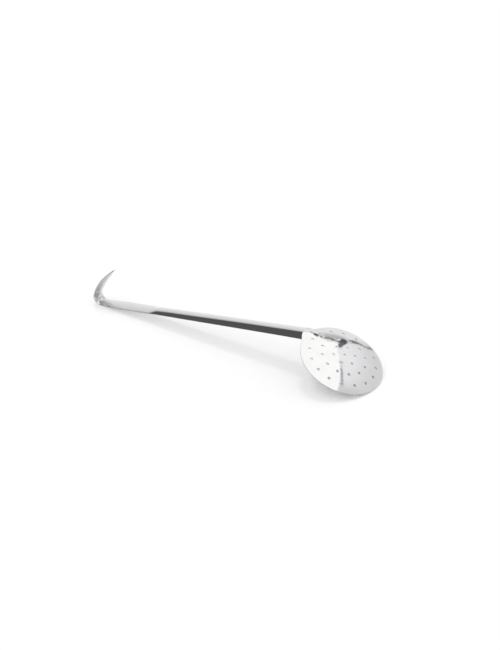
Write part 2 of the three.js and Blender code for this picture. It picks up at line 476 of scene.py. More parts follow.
    def layout(self, holes: Array) -> tuple[Array, Array, Array]:
        """Lays out and triangulates the face between the holes and the rim.

        Points lie on the rim, on rings round each hole and on even circles between them, and
        Delaunay triangles join them. Those whose middle is nearer to a hole's axis than its bore
        and a share of its lip are dropped.

        Args:
            holes: The holes' directions.

        Returns:
            The points' directions, the triangles, and the numbers of the holes' lip points by hole.
        """
        rim_turn = full_turn(self.RIM_POINTS)
        slope = self.rim_slope - self.rim_fillet(rim_turn) / self.sphere
        reach = self.sphere * np.sin(slope)
        lip = self.hole_radius + self.lip
        near = [
            self.rings(holes, lip + step)[..., :2].reshape(-1, 2) * self.sphere
            for step in (0.0, *self.HOLE_RINGS)
        ]
        fill = [(reach.min() - self.RIM_ROW) * around(rim_turn)]
        for spacing, in_nose in ((self.SPACING, False), (self.NOSE_SPACING, True)):
            for out in np.arange(spacing, self.radius - self.RIM_CLEAR, spacing):
                count = max(6, int(2 * math.pi * out / spacing))
                spots = out * around(2 * math.pi * (np.arange(count) + self.STAGGER) / count)
                fill.append(spots[(self.nose_height(spots) > self.LEAST_NOSE) == in_nose])
        loose = np.concatenate(fill)
        gaps = np.linalg.norm(loose[:, None] - self.sphere * holes[None, :, :2], axis=-1).min(axis=1)
        loose = loose[gaps > lip + self.HOLE_RINGS[-1] + self.LEAST_GAP]
        plan = np.concatenate([reach[:, None] * around(rim_turn), *near, loose])
        ring = np.arange(self.RIM_POINTS)
        lips = self.RIM_POINTS + np.arange(len(near[0])).reshape(len(holes), -1)
        edges = np.concatenate([
            np.stack([ring, np.roll(ring, -1)], axis=-1),
            np.stack([lips, np.roll(lips, -1, axis=1)], axis=-1).reshape(-1, 2),
        ])
        found, _, faces, _, _, _ = delaunay_2d_cdt(plan.tolist(), edges.tolist(), [], 0, 1e-7)
        if len(found) != len(plan) or not np.allclose(np.array(found), plan, atol=1e-3):
            raise ValueError("the dish's points don't all stay apart")
        triangles = np.array(faces)
        middle = plan[triangles].mean(axis=1)
        away = np.linalg.norm(middle[:, None] - self.sphere * holes[None, :, :2], axis=-1).min(axis=1)
        kept = away > self.hole_radius + self.LIP_SHARE * self.lip
        return self.direction(plan), triangles[kept], lips

    def dip(self, direction: Array, holes: Array) -> tuple[Array, Array]:
        """How far the face dips towards the holes, and its slope there.

        Near each hole it dips by the dimple times exp(-(gap / reach) squared), where the gap is
        the distance from the bore.

        Args:
            direction: Directions of the face's points.
            holes: The holes' directions.

        Returns:
            The dips in millimetres, and the vectors that tip the outward normals.
        """
        apart = direction[:, None] - holes[None]
        distance = self.sphere * np.linalg.norm(apart, axis=-1)
        gap = np.maximum(distance - self.hole_radius, 0.0) / self.dimple_reach
        fall = self.dimple * np.exp(-(gap**2))
        steep = 2 * gap * fall / self.dimple_reach
        tip = (-(steep / np.maximum(distance, 1e-6))[..., None] * apart * self.sphere).sum(axis=1)
        return fall.sum(axis=1), tip

    def outline(self) -> Array:
        """Points of the rim's outer and inner edges and of the dome, for laying it down."""
        turn = np.linspace(0.0, 2 * math.pi, 721)
        slope = np.linspace(0.0, self.rim_slope, 13)[:, None]
        plan = self.sphere * np.sin(slope)[..., None] * around(turn)
        spheres = (self.sphere, self.sphere - self.sheet)
        faces = [self.at(self.direction(plan), sphere).reshape(-1, 3) for sphere in spheres]
        return np.concatenate(faces)

    def build(self, pose: RestPose) -> bpy.types.Object:
        """Makes the dish: both faces, the lips and bores of the holes, and the rim.

        A lip or a rim edge is a quarter circle carried round its hole or round the rim, and a bore
        runs straight between its two lips along the hole's axis.

        Args:
            pose: Where the skimmer lies.

        Returns:
            The finished object.
        """
        shell = Shell()
        holes = self.holes()
        direction, triangles, lips = self.layout(holes)
        fall, tip = self.dip(direction, holes)
        move, turned = self.lift(direction)
        face = unit(direction + tip + turned)
        inner = self.sphere - self.sheet
        cut = np.zeros(len(direction))
        outer_numbers = shell.corners(self.at(direction, self.sphere - fall) + move, face, cut=cut)
        inner_numbers = shell.corners(self.at(direction, inner - fall) + move, -face, cut=cut)
        shell.triangles(outer_numbers[triangles])
        shell.triangles(inner_numbers[triangles])
        self.add_bores(shell, holes, direction[lips], face[lips], move[lips], fall[lips].mean(),
                       outer_numbers[lips], inner_numbers[lips])
        rim = slice(0, self.RIM_POINTS)
        self.add_rim(shell, direction[rim], face[rim], move[rim], outer_numbers[rim], inner_numbers[rim])
        return shell.piece("dish_shell", pose, math.radians(60))

    def add_bores(self, shell: Shell, holes: Array, ring: Array, face: Array, move: Array, dip: float,
                  outer_numbers: Array, inner_numbers: Array) -> None:
        """Adds the holes' lips and bores.

        Args:
            shell: The shell to add to.
            holes: The holes' directions.
            ring: Directions of the lip points by hole.
            face: Normals of the outer face there.
            move: The nose's moves there.
            dip: The face's dip there.
            outer_numbers: The outer face's corners there.
            inner_numbers: The inner face's corners there.
        """
        axis = holes[:, None, None]
        out = unit(ring - holes[:, None] * (ring * holes[:, None]).sum(axis=-1, keepdims=True))[:, None]
        lip_distance = self.hole_radius + self.lip
        slant = math.asin(lip_distance / self.sphere)
        top = self.sphere * math.cos(slant) - dip
        low_start = (self.sphere - self.sheet) * math.sin(slant)
        bottom = (self.sphere - self.sheet) * math.cos(slant) - dip
        burr = low_start - self.hole_radius
        turn = quarter(self.LIP_STEPS)
        over, back = np.sin(turn), 1 - np.cos(turn)
        reach = np.concatenate([lip_distance - self.lip * over, (low_start - burr * over)[::-1]])
        height = np.concatenate([top - self.lip * back, (bottom + self.burr * back)[::-1]])
        lean = np.concatenate([over, over[::-1]])
        rise = np.concatenate([1 - back, (back - 1)[::-1]])
        points = out * reach[None, :, None, None] + axis * height[None, :, None, None] + move[:, None]
        points = points + self.centre
        normals = -out * lean[None, :, None, None] + face[:, None] * rise[None, :, None, None]
        cut = np.broadcast_to(lean[None, :, None], points.shape[:-1])
        middle = shell.corners(points[:, 1:-1], normals[:, 1:-1], cut=cut[:, 1:-1])
        rows = [outer_numbers[:, None], middle, inner_numbers[:, None]]
        shell.grid(np.concatenate(rows, axis=1), wrap=True)

    def add_rim(self, shell: Shell, ring: Array, face: Array, move: Array,
                outer_numbers: Array, inner_numbers: Array) -> None:
        """Adds the rim between the two faces.

        Args:
            shell: The shell to add to.
            ring: Directions of the rim's points.
            face: Normals of the outer face there.
            move: The nose's moves there.
            outer_numbers: The outer face's corners there.
            inner_numbers: The inner face's corners there.
        """
        fillet = self.rim_fillet(full_turn(self.RIM_POINTS))[None, :, None]
        flat = unit(ring * np.array([1.0, 1.0, 0.0]))
        out = unit(flat - ring * (flat * ring).sum(axis=-1, keepdims=True))[None]
        turn = quarter(self.LIP_STEPS)[:, None, None]
        inner = self.sphere - self.sheet
        lean, rise = np.sin(turn), np.cos(turn)
        top = ring * (self.sphere - fillet * (1 - rise)) + out * fillet * lean
        low = (ring * (inner + fillet * (1 - rise)) + out * fillet * lean)[::-1]
        points = np.concatenate([top, low]) + move + self.centre
        normals = np.concatenate([face * rise + out * lean, (-face * rise + out * lean)[::-1]])
        cut = np.broadcast_to(np.concatenate([lean, lean[::-1]])[..., 0], points.shape[:-1])
        middle = shell.corners(points[1:-1], normals[1:-1], cut=cut[1:-1])
        shell.grid(np.concatenate([outer_numbers[None], middle, inner_numbers[None]]), wrap=True)


class Stretch(Enum):
    """The strip's stretches in order from the dish to the hook's point."""

    NECK = 0
    SHANK = 1
    SPLAY = 2
    HEEL = 3
    BLADE = 4


@dataclass(frozen=True)
class Section:
    """The strip's half width and crown height at a share of one stretch."""

    stretch: Stretch
    share: float
    half: float
    crown: float


@dataclass(frozen=True)
class Handle:
    """The long strip handle: an arched section carried along a bent line.

    Attributes:
        dish: The dish that it joins.
        neck_length: Of the strip's edges, over which it bends away from the dome.
        neck_bend: Degrees that the handle drops below the dome's slope.
        neck_bulge: How much farther out the crown of a row bends than its edges.
        bulge_fade: Length over which that difference runs out.
        shank_length: Straight length.
        splay_length: Flatter length in front of the heel.
        heel_radius: Of the edges in the heel's bend.
        heel_turn: Degrees that the heel turns.
        blade_length: Of the hook from the heel to its point.
        blade_turn: Degrees that the hook curls over its length.
        edge_round: Radius of the strip's edges.
        tip_round: Length over which the hook's point is rounded.
        cad_seam: Gap between the two CAD solids, from which distances along the strip count.
        seam: Gap that the finished seam leaves.
    """

    dish: Dish
    neck_length: float = 2.0
    neck_bend: float = 12.8
    neck_bulge: float = 4.0
    bulge_fade: float = 60.0
    shank_length: float = 294.0
    splay_length: float = 68.0
    heel_radius: float = 9.9
    heel_turn: float = 119.5
    blade_length: float = 60.3
    blade_turn: float = 32.0
    edge_round: float = 0.4
    tip_round: float = 1.6
    cad_seam: float = 0.3
    seam: float = 0.02

    SECTIONS = (
        Section(Stretch.NECK, 1.0, 15.4, 7.9),
        Section(Stretch.SHANK, 0.04, 14.8, 7.7),
        Section(Stretch.SHANK, 0.33, 13.6, 6.6),
        Section(Stretch.SHANK, 0.66, 12.6, 5.0),
        Section(Stretch.SHANK, 0.87, 11.85, 3.8),
        Section(Stretch.SHANK, 0.92, 11.75, 1.8),
        Section(Stretch.SPLAY, 0.5, 12.0, 1.6),
        Section(Stretch.SPLAY, 1.0, 10.0, 3.0),
        Section(Stretch.HEEL, 0.5, 10.3, 3.6),
        Section(Stretch.HEEL, 1.0, 11.0, 3.4),
        Section(Stretch.BLADE, 0.35, 12.4, 4.3),
        Section(Stretch.BLADE, 0.7, 8.7, 3.5),
        Section(Stretch.BLADE, 1.0, 1.6, 0.3),
    )
    STEPS = {Stretch.NECK: 16, Stretch.SHANK: 150, Stretch.SPLAY: 46, Stretch.HEEL: 48, Stretch.BLADE: 60}
    TIP_STEPS = 8
    ACROSS = 44
    EDGE_STEPS = 4
    LAST_COLUMN = 0.995     # share of the half width at which one more column lies
    LEAST_ROUND = 0.001     # share of the width's square that is left at the hook's point
    LEAST_CROWN = 0.05
    SEAM_INSET = 0.1        # from the rim to where the seam's normals are taken
    FACE = 0.99             # share from which the outline counts as a face of the strip

    @property
    def lengths(self) -> Array:
        """Lengths of the stretches along the edge line."""
        heel = self.heel_radius * math.radians(self.heel_turn)
        return np.array([self.neck_length, self.shank_length, self.splay_length, heel, self.blade_length])

    @property
    def turns(self) -> Array:
        """How far each stretch turns downwards, in radians."""
        return np.radians([self.neck_bend, 0.0, 0.0, -self.heel_turn, -self.blade_turn])

    def spine(self) -> tuple[Array, Array, Array]:
        """The line that the strip's edges follow, in the plane y = 0.

        The heading changes evenly along each stretch, and every step goes along the heading at
        its middle. The strip starts on the chord of the rim across the neck.

        Returns:
            The stations' x and z, their headings below -X, and their distances along the strip.
        """
        starts = np.concatenate([[0.0], np.cumsum(self.lengths)])
        heads = self.dish.rim_slope + np.concatenate([[0.0], np.cumsum(self.turns)])
        run = np.concatenate([
            starts[s.value] + self.lengths[s.value] * np.arange(self.STEPS[s]) / self.STEPS[s] for s in Stretch
        ])
        tip = starts[-1] - self.tip_round * (1 - np.sin(quarter(self.TIP_STEPS)))
        run = np.concatenate([run[run < tip[0] - 0.2], tip])
        heading = np.interp(run, starts, heads)
        middle = (heading[1:] + heading[:-1]) / 2
        step = np.diff(run)[:, None] * np.stack([-np.cos(middle), -np.sin(middle)], axis=-1)
        first = np.array([-math.cos(heads[0]), -math.sin(heads[0])])
        chord = np.array([self.dish.seam_lead - self.dish.radius, 0.0])
        place = chord + self.cad_seam * first + np.concatenate([[[0.0, 0.0]], np.cumsum(step, axis=0)])
        near = chord + self.seam * first
        return (
            np.concatenate([near[None], place]),
            np.concatenate([heading[:1], heading]),
            np.concatenate([[self.seam - self.cad_seam], run]),
        )

    def section(self, run: Array) -> tuple[Array, Array]:
        """Half width and crown height along the strip.

        A cubic joins each two keys, with the slope at a key the harmonic mean of the slopes
        beside it, and level at peaks and hollows. The hook's point narrows as a circle does.

        Args:
            run: Distances along the strip.

        Returns:
            Half widths and crown heights.
        """
        starts = np.concatenate([[0.0], np.cumsum(self.lengths)])
        keys = [starts[s.stretch.value] + s.share * self.lengths[s.stretch.value] for s in self.SECTIONS]
        x = np.array([0.0, *keys])
        halves = np.array([self.dish.neck_half_width, *(s.half for s in self.SECTIONS)])
        crowns = np.array([self.dish.seam_crown + self.dish.nose_rise, *(s.crown for s in self.SECTIONS)])
        found = []
        for y in (halves, crowns):
            rise = np.diff(y) / np.diff(x)
            pair, total = rise[:-1] * rise[1:], rise[:-1] + rise[1:]
            inner = np.where(pair > 0, 2 * pair / np.where(total == 0, 1.0, total), 0.0)
            slope = np.concatenate([rise[:1], inner, rise[-1:]])
            k = np.clip(np.searchsorted(x, run, side="left") - 1, 0, len(x) - 2)
            width = x[k + 1] - x[k]
            t = np.clip((run - x[k]) / width, 0.0, 1.0)
            bend = width * t * (1 - t) * ((1 - t) * slope[k] - t * slope[k + 1])
            found.append(y[k] + (y[k + 1] - y[k]) * eased(t) + bend)
        share = np.clip((run - (starts[-1] - self.tip_round)) / self.tip_round, 0.0, 1.0)
        left = np.maximum(1 - share**2, self.LEAST_ROUND)
        return found[0] * np.sqrt(left), np.maximum(found[1], self.LEAST_CROWN)

    def bulge(self, run: Array) -> Array:
        """How much farther out the crown of a row lies than its edges.

        At the seam it follows the rim. It grows evenly over the neck and then runs out by a
        smooth step.

        Args:
            run: Distances along the strip.

        Returns:
            Lengths in millimetres.
        """
        at_seam = self.dish.seam_lead * math.cos(self.dish.rim_slope)
        grown = at_seam + (self.neck_bulge - at_seam) * np.clip(run / self.neck_length, 0.0, 1.0)
        return grown * (1 - eased((run - self.neck_length) / self.bulge_fade))

    def seam_normals(self, share: Array) -> Array:
        """Normals of the dish's outer face along the seam.

        Args:
            share: Places across the strip as shares of its half width.

        Returns:
            Directions of length one.
        """
        aside = np.clip(share, -0.99, 0.99) * self.dish.neck_half_width
        reach = self.dish.radius - self.SEAM_INSET
        direction = self.dish.direction(np.stack([-np.sqrt(reach**2 - aside**2), aside], axis=-1))
        return unit(direction + self.dish.lift(direction)[1])

    def profile(self, arc: Array) -> Array:
        """The closed outline of the strip's section, by distance round the arch and by depth.

        It goes over the outer face, round one edge, back along the inner face and round the other
        edge. Each of the four corners is a quarter circle.

        Args:
            arc: Half of the arch's length at each station.

        Returns:
            Distance round the arch, depth below the outer face, and the outline's direction in
            both, on the first axis, by station and by point.
        """
        corner = np.minimum(self.edge_round, 0.3 * arc)[:, None]
        turn = quarter(self.EDGE_STEPS)
        extra = [-self.LAST_COLUMN, self.LAST_COLUMN]
        share = np.sort(np.concatenate([np.linspace(-1.0, 1.0, self.ACROSS + 1), extra]))
        flat, sheet = arc[:, None] - corner, self.dish.sheet
        over, back = np.sin(turn), 1 - np.cos(turn)
        parts = (
            (flat * share, 0.0, 1.0, 0.0),
            (flat + corner * over[1:], corner * back[1:], 1 - back[1:], over[1:]),
            (flat + corner * (1 - back), sheet - corner * (1 - over), -over, 1 - back),
            (-flat * share[1:], sheet, -1.0, 0.0),
        )
        upper, edge_out, edge_in, lower = (np.stack(np.broadcast_arrays(*part)) for part in parts)
        edge = np.concatenate([edge_out, edge_in], axis=-1)
        other = edge[..., ::-1] * np.array([-1.0, 1.0, 1.0, -1.0])[:, None, None]
        return np.concatenate([upper, edge, lower, other[..., 1:]], axis=-1)

    def surface(self) -> tuple[Array, Array, Array]:
        """The strip's whole surface as a grid of stations by points of the outline.

        At a station the outer face is a circular arch over the edge line: its radius is the half
        width squared plus the crown squared over twice the crown. Near the dish a row also bulges
        outwards, by its bulge times one less the square of its share of the half width. Over the
        neck the normals pass by a smooth step from the dish's to the strip's, as on a ground seam.

        Returns:
            The points, their outward normals, and each point's distance along the strip, distance
            round the arch and depth.
        """
        place, heading, run = self.spine()
        half, crown = self.section(run)
        radius = arch_radius(half, crown)
        half_arc = radius * np.arcsin(np.clip(half / radius, -1.0, 1.0))
        arc, depth, along_arc, along_depth = self.profile(half_arc)
        radius, half, crown = radius[:, None], half[:, None], crown[:, None]
        tilt = arc / radius
        bulge = self.bulge(run)[:, None]
        y = (radius - depth) * np.sin(tilt)
        lead = bulge * (1 - (y / half) ** 2)
        up = (radius - depth) * np.cos(tilt) - (radius - crown)
        cos_h, sin_h = np.cos(heading)[:, None], np.sin(heading)[:, None]
        points = np.stack([
            place[:, :1] - up * sin_h - lead * cos_h,
            y,
            place[:, 1:] + up * cos_h - lead * sin_h,
        ], axis=-1)
        forward = np.gradient(points, axis=0)
        side_y = along_arc * (1 - depth / radius) * np.cos(tilt) - along_depth * np.sin(tilt)
        side_up = -along_arc * (1 - depth / radius) * np.sin(tilt) - along_depth * np.cos(tilt)
        lean = -2 * bulge * y / half**2 * side_y
        sideways = np.stack([
            -side_up * sin_h - lean * cos_h,
            side_y,
            side_up * cos_h - lean * sin_h,
        ], axis=-1)
        normals = unit(np.cross(sideways, forward))
        neck = run < self.neck_length
        passed = eased(run / self.neck_length)[:, None, None]
        at_seam = self.seam_normals(y / half) * along_arc[..., None]
        ground = unit(at_seam * (1 - passed) + normals[np.argmin(neck)] * passed)
        faces = neck[:, None] & (np.abs(along_arc) > self.FACE)
        normals = np.where(faces[..., None], ground, normals)
        marks = np.stack(np.broadcast_arrays(run[:, None], arc, depth), axis=-1)
        return points, normals, marks

    def outline(self) -> Array:
        """Points of both faces, for laying it down."""
        return self.surface()[0].reshape(-1, 3)

    def build(self, pose: RestPose) -> bpy.types.Object:
        """Makes the handle, closed at the seam and at the hook's point.

        Each end is a fan of triangles round the middle of the outline's points.

        Args:
            pose: Where the skimmer lies.

        Returns:
            The finished object.
        """
        shell = Shell()
        points, normals, marks = (grid[:, :-1] for grid in self.surface())
        depth = marks[..., 2]
        corner = np.clip(np.minimum(depth, self.dish.sheet - depth) / self.edge_round, 0.0, 1.0)
        shell.grid(shell.corners(points, normals, cut=corner, strip=marks), wrap=True)
        for row, before in ((0, 1), (-1, -3)):
            middle, mark = points[row].mean(axis=0), marks[row].mean(axis=0)
            away = unit(middle - points[before].mean(axis=0))
            ways = np.broadcast_to(away, points[row].shape)
            ring = shell.corners(points[row], ways, cut=corner[row], strip=marks[row])
            centre = shell.corners(middle[None], away[None], cut=np.ones(1), strip=mark[None])
            fan = [ring, np.roll(ring, -1), np.broadcast_to(centre, ring.shape)]
            shell.triangles(np.stack(fan, axis=-1))
        return shell.piece("handle_strip", pose, math.radians(60))


# Shader sheets


class Signal:
    """A shader socket that Python expressions work on, each operation adding one node."""

    def __init__(self, sheet: "Sheet", socket: bpy.types.NodeSocket) -> None:
        """Keeps the sheet and the socket."""
        self.sheet = sheet
        self.socket = socket

    def output(self, name: str) -> "Signal":
        """Another output of the same node."""
        return Signal(self.sheet, self.socket.node.outputs[name])

    def parts(self) -> "tuple[Signal, Signal, Signal]":
        """A vector's x, y and z."""
        split = self.sheet.node("ShaderNodeSeparateXYZ", {}, {0: self})
        return split, split.output("Y"), split.output("Z")

    def measure(self, operation: str, *others: "Signal | tuple[float, ...]") -> "Signal":
        """The number that a Vector Math node finds, such as a length or a distance."""
        inputs = dict(enumerate([self, *others]))
        return self.sheet.node("ShaderNodeVectorMath", {"operation": operation}, inputs, "Value")

    def math(self, operation: str, *others: "Signal | float", first: "float | None" = None) -> "Signal":
        """Adds a Math node, or a Vector Math node where this socket holds a vector.

        Args:
            operation: The node's operation.
            *others: Its further inputs.
            first: A number to put in front of this socket.

        Returns:
            The result.
        """
        values = [self, *others] if first is None else [first, self, *others]
        vector = self.socket.type == "VECTOR"
        kind = "ShaderNodeVectorMath" if vector else "ShaderNodeMath"
        if vector and operation == "MULTIPLY" and isinstance(values[1], float | int):
            return self.sheet.node(kind, {"operation": "SCALE"}, {0: values[0], "Scale": values[1]})
        return self.sheet.node(kind, {"operation": operation}, dict(enumerate(values)))

    def __add__(self, other: "Signal | float") -> "Signal":
        """Sum."""
        return self.math("ADD", other)

    __radd__ = __add__

    def __sub__(self, other: "Signal | float") -> "Signal":
        """Difference."""
        return self.math("SUBTRACT", other)

    def __rsub__(self, other: float) -> "Signal":
        """Difference from a number."""
        return self.math("SUBTRACT", first=other)

    def __mul__(self, other: "Signal | float") -> "Signal":
        """Product."""
        return self.math("MULTIPLY", other)

    __rmul__ = __mul__

    def __truediv__(self, other: "Signal | float") -> "Signal":
        """Quotient."""
        return self.math("DIVIDE", other)

    def most(self, other: "Signal | float") -> "Signal":
        """The larger of two."""
        return self.math("MAXIMUM", other)

    def least(self, other: "Signal | float") -> "Signal":
        """The smaller of two."""
        return self.math("MINIMUM", other)

    def rises(self, low: "Signal | float", high: "Signal | float") -> "Signal":
        """A smooth step.

        Args:
            low: Where it leaves 0.
            high: Where it reaches 1.

        Returns:
            The step.
        """
        settings = {"interpolation_type": "SMOOTHSTEP"}
        inputs = {"Value": self, "From Min": low, "From Max": high}
        return self.sheet.node("ShaderNodeMapRange", settings, inputs)

    def mixed(self, a: "Signal | Colour", b: "Signal | Colour") -> "Signal":
        """Mixes two colours by this socket.

        Args:
            a: Colour where this is 0.
            b: Colour where this is 1.

        Returns:
            The mixed colour.
        """
        inputs = {"Factor_Float": self, "A_Color": a, "B_Color": b}
        return self.sheet.node("ShaderNodeMix", {"data_type": "RGBA"}, inputs, "Result_Color")


class Sheet:
    """The node tree of a material or of the world."""

    def __init__(self, owner: bpy.types.Material | bpy.types.World) -> None:
        """Empties the owner's tree."""
        owner.use_nodes = True
        self.tree = owner.node_tree
        self.tree.nodes.clear()

    def node(self, kind: str, settings: Mapping[str, Any] | None = None,
             inputs: Mapping[int | str, Any] | None = None, output: int | str = 0) -> Signal:
        """Adds a node.

        Args:
            kind: The node's type.
            settings: Its properties, with a ramp's stops as pairs of place and colour.
            inputs: Values or links by the socket's number, identifier or name.
            output: Number, identifier or name of the wanted output.

        Returns:
            That output.
        """
        node = self.tree.nodes.new(kind)
        for key, value in (settings or {}).items():
            if key == "stops":
                self.set_stops(node.color_ramp, value)
            else:
                setattr(node, key, value)
        for key, value in (inputs or {}).items():
            socket = self.socket(node.inputs, key)
            if isinstance(value, Signal):
                self.tree.links.new(value.socket, socket)
            elif socket.type == "RGBA" and len(value) == 3:
                socket.default_value = (*value, 1.0)
            else:
                socket.default_value = value
        if not node.outputs:
            return Signal(self, None)
        return Signal(self, self.socket(node.outputs, output))

    @staticmethod
    def socket(sockets: Any, key: int | str) -> bpy.types.NodeSocket:
        """Finds a socket by number, identifier or name.

        Args:
            sockets: A node's inputs or outputs.
            key: The number, identifier or name.

        Returns:
            The socket.
        """
        if isinstance(key, int):
            return sockets[key]
        same = [s for s in sockets if s.identifier == key]
        return same[0] if same else sockets[key]

    @staticmethod
    def set_stops(ramp: bpy.types.ColorRamp, stops: Sequence[tuple[float, float]]) -> None:
        """Sets a ramp's stops.

        Args:
            ramp: The ramp.
            stops: Places and grey values.
        """
        while len(ramp.elements) < len(stops):
            ramp.elements.new(1.0)
        for element, (place, value) in zip(ramp.elements, stops):
            element.position = place
            element.color = (value, value, value, 1.0)

    def noise(self, place: Signal, scale: float, detail: float = 2.0) -> Signal:
        """Soft noise about 0.

        Args:
            place: The coordinates.
            scale: Features a unit.
            detail: Number of finer layers.

        Returns:
            Noise from about -0.5 to 0.5.
        """
        inputs = {"Vector": place, "Scale": scale, "Detail": detail}
        return self.node("ShaderNodeTexNoise", {}, inputs, "Fac") - 0.5

    def vector(self, x: Signal | float, y: Signal | float, z: Signal | float) -> Signal:
        """Puts three numbers together."""
        return self.node("ShaderNodeCombineXYZ", {}, {0: x, 1: y, 2: z})


# Finishes


class Lay(Enum):
    """Which way the polishing wheel went."""

    ROUND = "round the dish"
    LENGTHWISE = "along the strip"


@dataclass(frozen=True)
class PolishedSteel:
    """Mirror-polished stainless sheet with the fine marks of polishing and use.

    Attributes:
        name: The material's name.
        lay: Which way the polishing marks run.
        tint: Colour of the clean steel.
        gloss: Roughness of the mirror finish.
        ripple: Height of the sheet's slight waves in millimetres.
        scratch: Depth of the polishing marks in millimetres.
        clouded: Share of the tint that is left where the steel is worn cloudy.
        edge_dull_and_shade_tint: The same on cut edges and in the holes' bores, partly duller cut steel and
            partly painted shade.
        hook_shade_tint: The same towards the hook, painted darker there as shade.
        hook_shade_span: Distances along the strip between which that painted shade grows towards the hook.
    """

    name: str
    lay: Lay
    tint: Colour = (0.775, 0.775, 0.775)
    gloss: float = 0.07
    ripple: float = 0.006
    scratch: float = 0.0001
    clouded: float = 0.93
    edge_dull_and_shade_tint: float = 0.5
    hook_shade_tint: float = 0.72
    hook_shade_span: tuple[float, float] = (345.0, 372.0)

    # Sizes in millimetres of the long and the short waves, the wiping smears and the cloudy wear.
    LONG_WAVE, SHORT_WAVE, SMEAR, CLOUD = 9.0, 2.6, 22.0, 14.0

    def toned(self, share: float) -> Colour:
        """The tint at a share of its light."""
        return tuple(c * share for c in self.tint)

    def material(self, pose: RestPose) -> bpy.types.Material:
        """Makes the material.

        Waves of two sizes and polishing marks that follow the lay bend the reflections. Smears
        from wiping change the gloss, and cut edges are duller. Cut edges and the holes' bores are
        painted darker, partly duller cut steel and partly painted shade, and the hook is painted darker as
        shade.

        Args:
            pose: Where the skimmer lies, which the round marks follow.

        Returns:
            The material.
        """
        made = bpy.data.materials.new(self.name)
        sheet = Sheet(made)
        whole = sheet.node("ShaderNodeTexCoord", {}, {}, "Object") * METRE
        marks = self.marks(sheet, whole, pose)
        cut = sheet.node("ShaderNodeAttribute", {"attribute_name": "cut"}, {}, "Fac")
        waves = sheet.noise(whole, 1 / self.LONG_WAVE, 1.0) * self.ripple
        waves = waves + sheet.noise(whole, 1 / self.SHORT_WAVE, 1.0) * (self.ripple * 0.12)
        lines = sheet.noise(marks, 1.0, 3.0)
        height = waves + lines * self.scratch + cut * lines * (8 * self.scratch)
        bump = sheet.node("ShaderNodeBump", {}, {"Strength": 1.0, "Distance": 1 / METRE, "Height": height})
        smear = sheet.noise(whole, 1 / self.SMEAR, 4.0).rises(-0.1, 0.35)
        fine = lines.rises(0.05, 0.3)
        roughness = self.gloss + smear * 0.03 + fine * 0.02 + cut * 0.16
        clear = sheet.noise(whole, 1 / self.CLOUD, 5.0).rises(-0.25, 0.25) * 0.6
        clear = clear + sheet.noise(marks, 0.6, 2.0).rises(-0.2, 0.2) * 0.4
        colour = clear.mixed(self.toned(self.clouded), self.tint)
        # Cut edges and bores painted darker: partly duller cut steel, partly painted shade in the bores and
        # along the rim.
        colour = (cut.rises(0.3, 1.0) * 0.7).mixed(colour, self.toned(self.edge_dull_and_shade_tint))
        # Painted shade: the steel is painted darker towards the hook.
        if self.lay is Lay.LENGTHWISE:
            run = self.strip_place(sheet)[0]
            colour = (run.rises(*self.hook_shade_span) * 0.5).mixed(colour, self.toned(self.hook_shade_tint))
        shader = sheet.node("ShaderNodeBsdfPrincipled", {}, {
            "Base Color": colour, "Metallic": 1.0, "Roughness": roughness, "Normal": bump,
        })
        sheet.node("ShaderNodeOutputMaterial", {}, {"Surface": shader})
        return made

    @staticmethod
    def strip_place(sheet: Sheet) -> tuple[Signal, Signal, Signal]:
        """Distance along the strip, distance round its arch, and depth."""
        return sheet.node("ShaderNodeAttribute", {"attribute_name": "strip"}, {}, "Vector").parts()

    def marks(self, sheet: Sheet, whole: Signal, pose: RestPose) -> Signal:
        """Coordinates that are fine across the polishing marks and coarse along them.

        Args:
            sheet: The material's tree.
            whole: Place in millimetres.
            pose: Where the skimmer lies.

        Returns:
            The coordinates.
        """
        if self.lay is Lay.LENGTHWISE:
            run, aside, depth = self.strip_place(sheet)
            return sheet.vector(run * 0.09, aside * 6.0, depth * 2.0)
        inputs = {"Vector": whole, "Location": pose.shift, "Rotation": (0.0, pose.tilt, 0.0)}
        x, y, _ = sheet.node("ShaderNodeMapping", {"vector_type": "TEXTURE"}, inputs).parts()
        flat = sheet.vector(x, y, 0.0)
        ahead, aside, _ = flat.math("NORMALIZE").parts()
        return sheet.vector(ahead * 5.0, aside * 5.0, flat.measure("LENGTH") * 6.0)


# Studio


@dataclass(frozen=True)
class Gap:
    """A dark or dull gap between the studio's white cards, a round-ended bar in the sky.

    Attributes:
        start: Azimuth and elevation of one end in degrees, azimuth from +X towards +Y.
        end: The same of the other end.
        half_width: In degrees.
        tone: Light that it sends.
        cool: How much more blue than red it sends.
        soft: Width of its border in degrees.
    """

    start: tuple[float, float]
    end: tuple[float, float]
    half_width: float
    tone: float
    cool: float = 0.01
    soft: float = 0.8

    @property
    def colour(self) -> Colour:
        """The light's colour."""
        return (self.tone, self.tone, self.tone + self.cool)


@dataclass(frozen=True)
class Fade:
    """A smooth change of light between two angles.

    Attributes:
        start: Angle in degrees at which it begins.
        end: Angle at which it is whole.
        amount: How much light it then is.
    """

    start: float
    end: float
    amount: float = 1.0

    def at(self, angle: Signal) -> Signal:
        """The change at an angle."""
        return angle.rises(self.start, self.end) * self.amount


